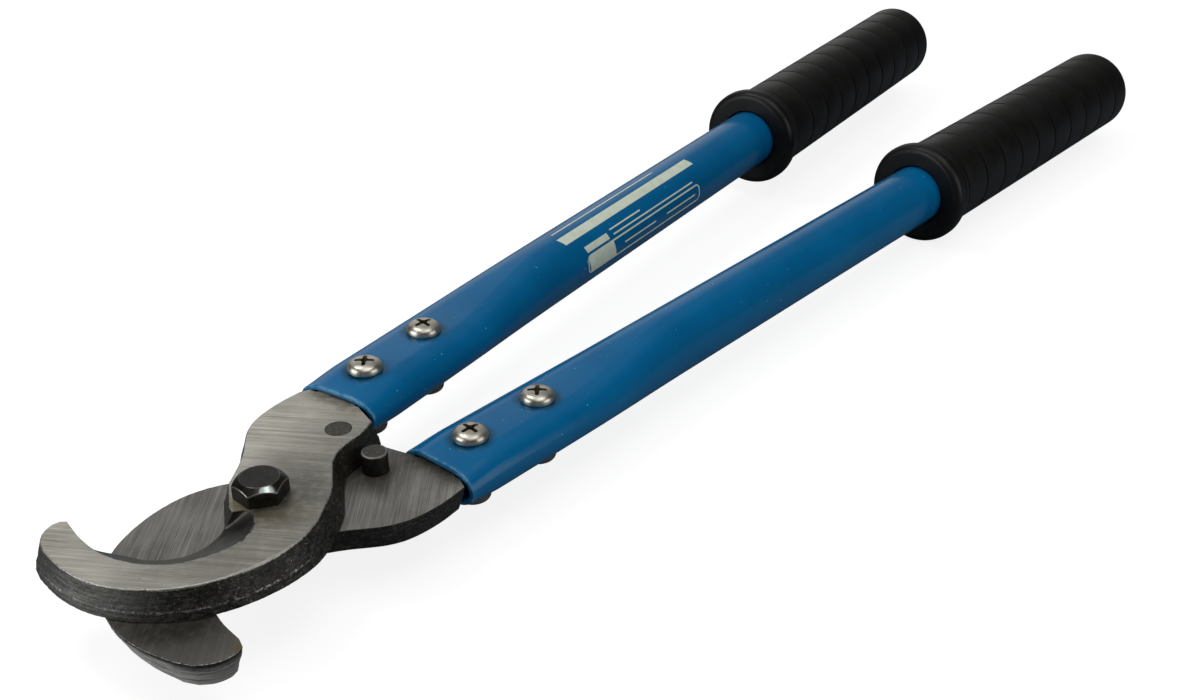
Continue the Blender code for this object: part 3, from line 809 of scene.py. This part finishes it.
def add_blade(node, relief, looks, place):
    """looks holds the materials of the outer face, the forged sides, the bevel and the shear face."""
    outer_face, forged, bevel, shear_face = range(4)
    rings, mouth_start, mouth_end = blade_rings(relief)

    def skin(i):
        return bevel if mouth_start <= i < mouth_end - 1 else forged

    bm = bridge(rings, [wear for _, _, wear in blade_levels()], material_of=skin)
    layer = bm.verts.layers.float["wear"]
    for vert in bm.verts:
        x, y, height = vert.co
        above = height - AXIS_Z - 1.5
        if height < AXIS_Z:
            vert[layer] *= eased((FADE_X - x) / FADE_LENGTH)
        elif y < -8 and above > 0:
            knocks = [strength * exp(-((x - at) / spread) ** 2) for at, spread, strength in BATTERED]
            vert[layer] += sum(knocks) * above / 2
    for face in bm.faces:
        if len(face.verts) > 4:
            face.material_index = outer_face if face.calc_center_median().z > AXIS_Z else shear_face
    blade = add_part(node, bm, looks, place, BLADE_CREASE)
    for x, y, radius in ((0, 0, PIVOT_HOLE_RADIUS), (PIN_X, PIN_Y, PIN_HOLE_RADIUS),
                         (*along_handle(0), SLEEVE_HOLE_RADIUS),
                         (*along_handle(SCREW_SPACING), SLEEVE_HOLE_RADIUS)):
        hole = turned([(radius, -1), (radius, BLADE_TOP + 1)], ROUND_SEGMENTS)
        carve(blade, hole, place @ moved(x, y), forged)


def add_stop_pin(node, looks, place):
    """looks holds the materials of the pin's side and of its sawn ends."""
    body = [(PIN_RADIUS, z) for z in (BLADE_TOP - 0.08, 4.0, 0.0, -2.0, -4.0)]
    profile = ([(PIN_RADIUS - 0.08, BLADE_TOP)] + body
               + [(PIN_RADIUS, PIN_CHAMFER - PIN_PROUD),
                  (PIN_RADIUS - 0.12, 0.3 * PIN_CHAMFER - PIN_PROUD),
                  (PIN_RADIUS - PIN_CHAMFER, 0.02 - PIN_PROUD),
                  (PIN_RADIUS - PIN_CHAMFER - 0.3, -PIN_PROUD)])
    wear = [0.0] * 7 + [0.7, 0.4, 0.0]
    bm = turned(profile, ROUND_SEGMENTS, wear)
    for face in bm.faces:
        if len(face.verts) > 4:
            face.material_index = 1
    add_part(node, bm, looks, place @ moved(PIN_X, PIN_Y))


# ---- Pivot ----

def hex_radius(angle):
    """Distance from a hexagon's centre to its side, with the corners slightly rounded."""
    turn = (angle - HEAD_TURN + pi / 6) % (pi / 3) - pi / 6
    corner = HEAD_FLATS / sqrt(3) - 0.12
    return min(HEAD_FLATS / 2 / cos(pi / 6 - abs(turn)), corner)


def hex_rings(flat_z, chamfered_z):
    """Rings of a hex block from its flat seat to its turned-down top; either end may be up."""
    way = 1 if chamfered_z > flat_z else -1
    angles = [2 * pi * i / HEX_SEGMENTS for i in range(HEX_SEGMENTS)]

    def ring(radius_of, z_of):
        return [(radius_of(a) * cos(a), radius_of(a) * sin(a), z_of(a)) for a in angles]

    def at(inset, drop):
        """A ring inset from the hexagon, a drop below the edge where the chamfer meets the sides."""
        return ring(lambda a: hex_radius(a) - inset,
                    lambda a: chamfered_z - way * (HEAD_SLOPE * (hex_radius(a) - HEAD_TOP_RADIUS) + drop))

    def near_top(spread, drop):
        """A round ring beside the edge of the flat top."""
        return ring(lambda a: HEAD_TOP_RADIUS + spread, lambda a: chamfered_z - way * drop)

    rings = [ring(lambda a: hex_radius(a) - 0.15, lambda a: flat_z),
             ring(hex_radius, lambda a: flat_z + way * 0.15),
             at(0.0, 0.40), at(0.0, 0.10), at(0.08, -0.02), at(0.22, -0.11),
             near_top(0.25, 0.155), near_top(0.12, 0.07), near_top(-0.05, 0.0), near_top(-0.3, 0.0)]
    wear = [0.0, 0.0, 0.0, 0.8, 0.8, 0.0, 0.0, 0.1, 0.1, 0.0]
    return rings, wear


def thread_rings(low, high):
    """Rings of a threaded stretch; the crest runs round as a helix and fades at the ends."""
    rings_per_turn = 8
    count = int((high - low) / THREAD_PITCH * rings_per_turn)
    rings = []
    for k in range(count + 1):
        z = low + (high - low) * k / count
        fade = min(1.0, (z - low) / THREAD_PITCH, (high - z) / THREAD_PITCH)
        ring = []
        for i in range(ROUND_SEGMENTS):
            a = 2 * pi * i / ROUND_SEGMENTS
            phase = (z / THREAD_PITCH - i / ROUND_SEGMENTS) % 1.0
            depth = THREAD_DEPTH * fade * (1 - abs(2 * phase - 1))
            r = BOLT_RADIUS - depth
            ring.append((r * cos(a), r * sin(a), z))
        rings.append(ring)
    return rings


def add_pivot_bolt(look):
    head = bridge(*hex_rings(HEAD_LOW, HEAD_LOW + HEAD_HEIGHT))
    bolt = add_part("pivot_bolt", head, [look], CENTRE, HEX_CREASE)
    shank = bridge([circle(BOLT_RADIUS - 0.8, BOLT_END_Z, ROUND_SEGMENTS)]
                   + thread_rings(BOLT_END_Z + 0.8, THREAD_START_Z)
                   + [circle(BOLT_RADIUS, HEAD_LOW + 1, ROUND_SEGMENTS)])
    carve(bolt, shank, CENTRE, operation="UNION", crease=HEX_CREASE)


def add_washer(look):
    profile = [(PIVOT_HOLE_RADIUS, WASHER_LOW), (WASHER_RADIUS - WASHER_ROUND, WASHER_LOW),
               (WASHER_RADIUS, WASHER_LOW + WASHER_ROUND), (WASHER_RADIUS, WASHER_TOP - WASHER_ROUND),
               (WASHER_RADIUS - WASHER_ROUND, WASHER_TOP), (PIVOT_HOLE_RADIUS, WASHER_TOP)]
    wear = [0.0, 0.4, 0.9, 0.9, 0.4, 0.0]
    washer = turned(profile, FINE_SEGMENTS, wear, hollow=True)
    add_part("pivot_washer", washer, [look], CENTRE)


def add_nut(look, bore_look):
    bm = bridge(*hex_rings(NUT_TOP, NUT_LOW))
    nut = add_part("pivot_nut", bm, [look, bore_look], CENTRE, HEX_CREASE)
    bore = turned([(PIVOT_HOLE_RADIUS + NUT_COUNTERSINK, NUT_LOW - 1),
                   (PIVOT_HOLE_RADIUS + NUT_COUNTERSINK, NUT_LOW),
                   (PIVOT_HOLE_RADIUS, NUT_LOW + NUT_COUNTERSINK),
                   (PIVOT_HOLE_RADIUS, NUT_TOP + 1)], FINE_SEGMENTS)
    carve(nut, bore, CENTRE, 1, crease=HEX_CREASE)


# ---- Handles ----

def eased(share):
    """Eases a share of 0..1 in and out, and holds it outside."""
    share = min(max(share, 0.0), 1.0)
    return share * share * (3 - 2 * share)


def oval(distance, inset, wobble=0.0):
    """Cross-section of the tube: an oval pressed flat round the tang, easing into a circle. wobble
    makes the ring uneven along the tube."""
    opened = eased((distance - TUBE_START) / MOUTH_LENGTH)
    flat_height = MOUTH_HALF_HEIGHT + (FLAT_HALF_HEIGHT - MOUTH_HALF_HEIGHT) * opened
    roundness = eased((distance - FLAT_END) / (ROUND_START - FLAT_END))
    half_width = FLAT_HALF_WIDTH + (TUBE_RADIUS - FLAT_HALF_WIDTH) * roundness - inset
    half_height = flat_height + (TUBE_RADIUS - flat_height) * roundness - inset
    reach = END_REACH + (TUBE_RADIUS - END_REACH) * roundness - inset
    points = []
    for i in range(TUBE_SEGMENTS):
        a = 2 * pi * (i + 0.5) / TUBE_SEGMENTS
        across = reach * cos(a) + copysign(half_width - reach, cos(a))
        up = half_height * sin(a)
        along = distance + wobble * scatter((across, up, 5.0), 0.35)
        points.append(Vector((across, up, along)))
    if distance > BEND_START:
        points = [bend_matrix() @ point for point in points]
    return points


def add_tube(node, look, place):
    start = [(TUBE_START, TUBE_WALL * 0.55, 0.6), (TUBE_START, 0.55, 0.7),
             (TUBE_START + 0.12, 0.16, 1.0), (TUBE_START + RIM_LENGTH, 0.02, 0.8)]
    stations = ([TUBE_START + 0.9, TUBE_START + 2.0] + [TUBE_START + 4 * i for i in range(1, 12)]
                + [FLAT_END + (ROUND_START - FLAT_END) * i / 16 for i in range(17)]
                + [110, 160, 210, GRIP_START, 300, 350, TUBE_END])
    rim_end = TUBE_START + 1
    outer = start + [(s, 0.0, 0.1 if s < rim_end else 0.0) for s in stations]
    loops = [oval(s, inset, RIM_NOISE if s < rim_end else 0.0) for s, inset, _ in outer]
    wear = [w for _, _, w in outer]
    inner = ([TUBE_END] + [s for s in reversed(stations) if s < 300]
             + [TUBE_START + RIM_LENGTH, TUBE_START])
    for s in inner:
        loops.append(oval(s, TUBE_WALL if s > TUBE_START else TUBE_WALL - 0.3))
        wear.append(0.0)
    bm = bridge(loops, wear, closed_profile=True, caps=False)
    add_part(node, bm, [look], place @ handle_matrix(), TUBE_CREASE)


def recess_bar(high, turn):
    """One of the two tapered bars, with round ends, that make a cross recess."""
    rings = []
    for z, half_length, half_width in ((high - RECESS_DEPTH, RECESS_LENGTH * 0.2, RECESS_WIDTH * 0.3),
                                       (high, RECESS_LENGTH / 2, RECESS_WIDTH / 2),
                                       (high + 1.0, RECESS_LENGTH / 2 + 0.2, RECESS_WIDTH / 2 + 0.1)):
        ring = []
        for end in (1, -1):
            for i in range(7):
                a = pi * (i / 6 - 0.5)
                x = end * (half_width * cos(a) + half_length - half_width)
                y = end * half_width * sin(a)
                ring.append((x * cos(turn) - y * sin(turn),
                             x * sin(turn) + y * cos(turn), z))
        rings.append(ring)
    return bridge(rings)


def add_screw(node, looks, place):
    """looks holds the materials of the screw and of its recess."""
    low = FLAT_HALF_HEIGHT + HEAD_GAP
    high = low + SCREW_HEAD_HEIGHT
    crown = []
    for i in range(2, 29):
        a = radians(3 * i)
        crown.append((SCREW_HEAD_RADIUS * cos(a) ** (2 / SCREW_DOME),
                      low + (high - low) * sin(a) ** (2 / SCREW_DOME)))
    tip = 1.2 - FLAT_HALF_HEIGHT
    profile = ([(SCREW_RADIUS - 0.4, tip), (SCREW_RADIUS, tip + 0.4), (SCREW_RADIUS, low),
                (SCREW_HEAD_RADIUS - 0.3, low), (SCREW_HEAD_RADIUS - 0.05, low + 0.2)] + crown)
    screw = add_part(node, turned(profile, SCREW_SEGMENTS), looks, place)
    cone = turned([(0.4, high - RECESS_DEPTH - 0.5), (1.15, high - 0.5), (1.35, high + 1)], 24)
    for cutter in (recess_bar(high, 0), recess_bar(high, pi / 2), cone):
        carve(screw, cutter, place, 1)


def add_sleeve_nut(node, look, place):
    seat = -FLAT_HALF_HEIGHT - HEAD_GAP
    top = FLAT_HALF_HEIGHT - TUBE_WALL - 1.0
    dome = rounded(SLEEVE_HEAD_RADIUS - SLEEVE_HEAD_ROUNDING,
                   seat - SLEEVE_HEAD_HEIGHT + SLEEVE_HEAD_ROUNDING, SLEEVE_HEAD_ROUNDING, -84, 0, 8)
    profile = dome + [(SLEEVE_HEAD_RADIUS, seat - 0.25), (SLEEVE_HEAD_RADIUS - 0.25, seat),
                      (SLEEVE_RADIUS, seat), (SLEEVE_RADIUS, top), (SLEEVE_BORE_RADIUS, top),
                      (SLEEVE_BORE_RADIUS, seat - 0.6)]
    add_part(node, turned(profile, SCREW_SEGMENTS), [look], place)


def add_grip(node, look, place):
    middle = COLLAR_RADIUS - COLLAR_ROUNDING
    profile = [(GRIP_BORE_RADIUS, TUBE_END + 2), (GRIP_BORE_RADIUS, GRIP_START + 0.6),
               (GRIP_BORE_RADIUS + 0.6, GRIP_START)]
    profile += rounded(middle, GRIP_START + COLLAR_ROUNDING, COLLAR_ROUNDING, -88, 0, 10)
    profile += rounded(middle, COLLAR_END - COLLAR_ROUNDING, COLLAR_ROUNDING, 0, 62, 8)
    profile += [(STEP_RADIUS - 0.6, COLLAR_END + 0.1), (STEP_RADIUS, COLLAR_END + 0.6)]
    profile += rounded(STEP_RADIUS - 0.5, STEP_END - 1.0, 0.5, 0, 80, 4)
    profile += [(GRIP_RADIUS + 0.2, STEP_END - 0.4), (GRIP_RADIUS + 0.55, STEP_END),
                (GRIP_RADIUS + 0.5, STEP_END + 0.6), (GRIP_RADIUS, STEP_END + 1.0)]
    half = GROOVE_WIDTH / 2
    bottom = GRIP_RADIUS - GROOVE_DEPTH
    for i in range(GROOVE_COUNT):
        at = GROOVE_START + GROOVE_PITCH * i
        profile += [(GRIP_RADIUS - 0.02, at - half - 0.5), (GRIP_RADIUS - 0.06, at - half),
                    (bottom, at - 0.3 * half), (bottom, at + 0.3 * half),
                    (GRIP_RADIUS - 0.06, at + half), (GRIP_RADIUS, at + half + 0.5)]
    profile += rounded(GRIP_RADIUS - GRIP_END_ROUNDING, GRIP_END - GRIP_END_ROUNDING,
                       GRIP_END_ROUNDING, 0, 86, 12)
    add_part(node, turned(profile, GRIP_SEGMENTS), [look],
             place @ handle_matrix() @ bend_matrix(MM), GRIP_CREASE)


# ---- Decal ----

def on_tube(along, around, lift):
    """Point on the round part of the upper tube, in the handle's own frame. around is measured on the
    tube's surface from its left side over the top."""
    radius = TUBE_RADIUS + lift
    angle = around / TUBE_RADIUS
    return bend_matrix() @ Vector((radius * cos(angle), radius * sin(angle), along))


def film_patch(start, end, low, high, slant=0.0):
    """A solid patch of film, between two places along the tube and two around it; slant is how much
    further along its far side lies than its near side."""
    steps_along, steps_around = 40, 8
    loops = []
    for i in range(steps_along + 1):
        edge = []
        for k in range(steps_around + 1):
            share = k / steps_around
            along = start + (end - start) * i / steps_along + slant * (share - 0.5)
            edge.append((along, low + (high - low) * k / steps_around))
        loops.append([on_tube(u, v, FILM_LIFT) for u, v in edge]
                     + [on_tube(u, v, FILM_BASE) for u, v in reversed(edge)])
    return bridge(loops)


def film_line(path, width, closed=False):
    """A line of film along a path of (along, around) points."""
    loops = []
    for i, point in enumerate(path):
        before = path[i - 1] if closed or i else point
        after = path[(i + 1) % len(path)] if closed or i < len(path) - 1 else point
        direction = (after - before).normalized()
        side = Vector((-direction.y, direction.x)) * width / 2
        left, right = point + side, point - side
        loops.append([on_tube(*left, FILM_LIFT), on_tube(*right, FILM_LIFT),
                      on_tube(*right, FILM_BASE), on_tube(*left, FILM_BASE)])
    return bridge(loops, closed_profile=closed, caps=not closed)


def rule(start, end, around):
    """A straight line of film along the tube."""
    steps = 24
    path = [Vector((start + (end - start) * i / steps, around)) for i in range(steps + 1)]
    return film_line(path, RULE_LINE)


def rounded_box(start, end, low, high, corner):
    """Points round a box with rounded corners, close enough together to follow the tube."""
    path = []
    turns = ((end, high, 0), (start, high, 90), (start, low, 180), (end, low, 270))
    for u, v, begin in turns:
        centre = Vector((u + corner if u == start else u - corner,
                         v + corner if v == low else v - corner))
        for i in range(7):
            angle = radians(begin + 90 * i / 6)
            path.append(centre + corner * Vector((cos(angle), sin(angle))))
    dense = []
    for a, b in zip(path, path[1:] + path[:1]):
        steps = max(1, round((b - a).length))
        dense += [a.lerp(b, i / steps) for i in range(steps)]
    return dense


def add_decal(look):
    """Plain shapes where the real tool has a printed label, with no lettering and no symbols."""
    shapes = {"bar": film_patch(97.4, 184.8, 19.9, 23.6, 1.0),
              "tag": film_patch(104.6, 118.8, 27.5, 29.9, 0.6),
              "frame": film_line(rounded_box(104.0, 181.5, 31.1, 37.2, 1.9), FRAME_LINE, closed=True),
              "block": film_patch(104.9, 121.2, 31.4, 36.9, 1.2),
              "rule_top": rule(99, 166, 16.6),
              "rule_upper": rule(121, 141.5, 27.2),
              "rule_lower": rule(122, 178, 29.3),
              "rule_left": rule(127.5, 149, 34.3),
              "rule_right": rule(157, 178, 34.3)}
    for name, bm in shapes.items():
        film = add_piece(f"upper_tube_decal_{name}", bm, [look], CENTRE @ handle_matrix(), FILM_CREASE)
        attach(film, "upper_half")


# ---- Stage ----

def add_floor():
    low = min(CAD_BOX[0].z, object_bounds()[0].z)
    bm = bmesh.new()
    bmesh.ops.create_grid(bm, x_segments=1, y_segments=1, size=FLOOR_HALF_SIDE)
    add_piece("floor", bm, [pale_floor()], Matrix.Translation((0, 0, low)))


def add_world():
    s = Shader(bpy.data.worlds.new("studio"), "Background")
    SCENE.world = s.owner
    where = s.node("TexCoord", {}, "Generated")
    total = ROOM_LIGHT
    for direction, full, none, strength in LIGHT_PATCHES:
        facing = s.node("VectorMath", {0: where, 1: Vector(direction).normalized()}, "Value",
                        operation="DOT_PRODUCT")
        patch = s.ramp(facing, cos(radians(none)), cos(radians(full)), 0.0, strength)
        total = s.math("ADD", patch, total)
    s.set(Strength=total, Color=ROOM_COLOUR)


def add_softbox(name, direction, side, power):
    light = bpy.data.lights.new(name, "AREA")
    light.shape = "RECTANGLE"
    light.size = side
    light.size_y = side
    light.energy = power
    obj = add_object(name, light)
    outward = Vector(direction).normalized()
    obj.location = VIEW_TARGET + outward * SOFTBOX_DISTANCE
    obj.rotation_mode = "QUATERNION"
    obj.rotation_quaternion = outward.to_track_quat("Z", "Y")


def add_camera():
    data = bpy.data.cameras.new("camera")
    data.lens = LENS
    data.sensor_width = SENSOR
    data.clip_start = 0.01
    camera = add_object("camera", data)
    back = Vector((sin(VIEW_AZIMUTH) * cos(VIEW_ELEVATION),
                   -cos(VIEW_AZIMUTH) * cos(VIEW_ELEVATION), sin(VIEW_ELEVATION)))
    level = Vector((cos(VIEW_AZIMUTH), sin(VIEW_AZIMUTH), 0))
    upright = back.cross(level)
    right = level * cos(VIEW_ROLL) + upright * sin(VIEW_ROLL)
    up = upright * cos(VIEW_ROLL) - level * sin(VIEW_ROLL)
    turn = Matrix((right, up, back)).transposed().to_4x4()
    camera.matrix_world = Matrix.Translation(VIEW_TARGET + back * VIEW_DISTANCE) @ turn
    SCENE.camera = camera


# ---- Build ----

def blade_looks():
    """The blades' materials: both outer faces, each blade's forged sides, the bevel, the shear faces."""
    # Black grease with painted shade on the walls round the neck and the stop pin.
    grease_and_shade = ((30, -1, 3), 26, BLACK_GREASE_AND_SHADE, -2)
    upper_sides = forged_scale("forged_scale", [grease_and_shade, ((-49, 8, 1), 26, (0.16, 0.157, 0.145), -2)])
    lower_sides = forged_scale("forged_scale_lower", [
        grease_and_shade, ((-46, 14, 4.5), 34, (0.75, 0.74, 0.70), 0.8)])
    bevel = mouth_bevel()

    by_tube = [(*along_handle(TUBE_START, offset), BLADE_TOP) for offset in (-8, -3, 3, 8)]
    outer = ground_steel("ground_outer", radians(-60), (0.27, 0.258, 0.218), (0.74, 0.718, 0.638), [
        ((-7.5, -1.5, 8), 12, 1.0, 0.55, TAN), ((-3, -8, 8), 12, 0.9, 0.7, TAN),
        ((1, -7, 8), 14, 0.7, 0.6, GREASE), ((-5.4, -4.8, 8), 5, 0.9, 0.9, OIL_AND_SHADE),
        ((-37, 2, 8), 34, 0.40, 0.2, DARKER_PATCH), ((10, -9, 8), 34, 0.82, 0.2, DARKER_PATCH),
        ((-20, -16, 8), 38, 0.55, 0.2, DARKER_PATCH), ((36, 2, 8), 20, 0.6, 0.2, DARKER_PATCH)]
        + [(spot, 7, 0.8, 0.75, GREASE) for spot in by_tube])

    in_tube = [(*along_handle(TUBE_START + 0.5, offset), 0) for offset in (-8, -3, 3, 8)]
    # Painted shade under the hook, with grease, on the lower jaw's face.
    under_hook = [(-49, 4, 0), (-48, 11, 0), (-44, 16, 0), (-38, 19, 0)]
    # The shear faces take a darker copy of the outer faces' steel as painted shade; the darker patch at the
    # tip and the oil round the stop pin are painted shade too.
    shear = ground_steel("ground_shear", radians(-36), (0.115, 0.112, 0.102), (0.40, 0.392, 0.362), [
        ((-12, 12, 0), 12, 0.4, 0.6, GREASE), ((33, 6, 0), 15, 1.0, 0.3, OIL_AND_SHADE),
        ((14, -4, 0), 30, 0.4, 0.3, DARKER_PATCH), ((-43, 24, 0), 34, 0.9, 0.1, DARKER_PATCH),
        ((-38.4, 33.2, 0), 2.6, 1.0, 0.4, RUST)]
        + [(spot, 9, 1.0, 0.35, OIL_AND_SHADE) for spot in in_tube]
        + [(spot, 9, 0.75, 0.4, HOOK_SHADE_AND_GREASE) for spot in under_hook])
    return {"upper": [outer, upper_sides, bevel, shear], "lower": [outer, lower_sides, bevel, shear]}


def build():
    blades = blade_looks()
    # The bolt's head has a painted highlight on the front of its chamfer.
    bolt_oxide = black_oxide("bolt_oxide", 0.8, 0.15, polished_highlights=[((-2.9, -6.0, 12.6), 3.2)])
    oxide = black_oxide("black_oxide", 0.8, 0.15)
    pin_looks = [black_oxide("pin_oxide", 0.45, 0.38, 0.12), pin_end()]
    screw_looks = [zinc_plate("bright_zinc", 0.84, 0.29), recess_dirt()]
    # Painted shade: the sleeve nuts and the nut's bore get a darker copy of the screws' plating.
    shaded_zinc = zinc_plate("shaded_zinc", 0.45, 0.40)
    paint = blue_paint()
    rubber = black_rubber()

    for side, place, relief, upright in (("upper", CENTRE, 0.0, Matrix()),
                                         ("lower", CENTRE @ HALF_TURN, RELIEF_DEPTH, HALF_TURN)):
        add_blade(f"{side}_blade", relief, blades[side], place)
        add_stop_pin(f"{side}_stop_pin", pin_looks, place)
        add_tube(f"{side}_handle_tube", paint, place)
        add_grip(f"{side}_grip", rubber, place)
        for i, row in enumerate(("front", "rear")):
            spot = place @ moved(*along_handle(SCREW_SPACING * i), AXIS_Z) @ upright
            recess_turn = Matrix.Rotation(radians(RECESS_TURNS[f"{side}_{row}"]), 4, "Z")
            add_screw(f"{side}_{row}_screw", screw_looks, spot @ recess_turn)
            add_sleeve_nut(f"{side}_{row}_sleeve_nut", shaded_zinc, spot)
    add_decal(decal_ink())
    add_pivot_bolt(bolt_oxide)
    add_washer(oxide)
    add_nut(oxide, shaded_zinc)


build()
add_floor()
add_world()
for softbox in SOFTBOXES:
    add_softbox(*softbox)
add_camera()
SCENE.view_settings.view_transform = "Standard"
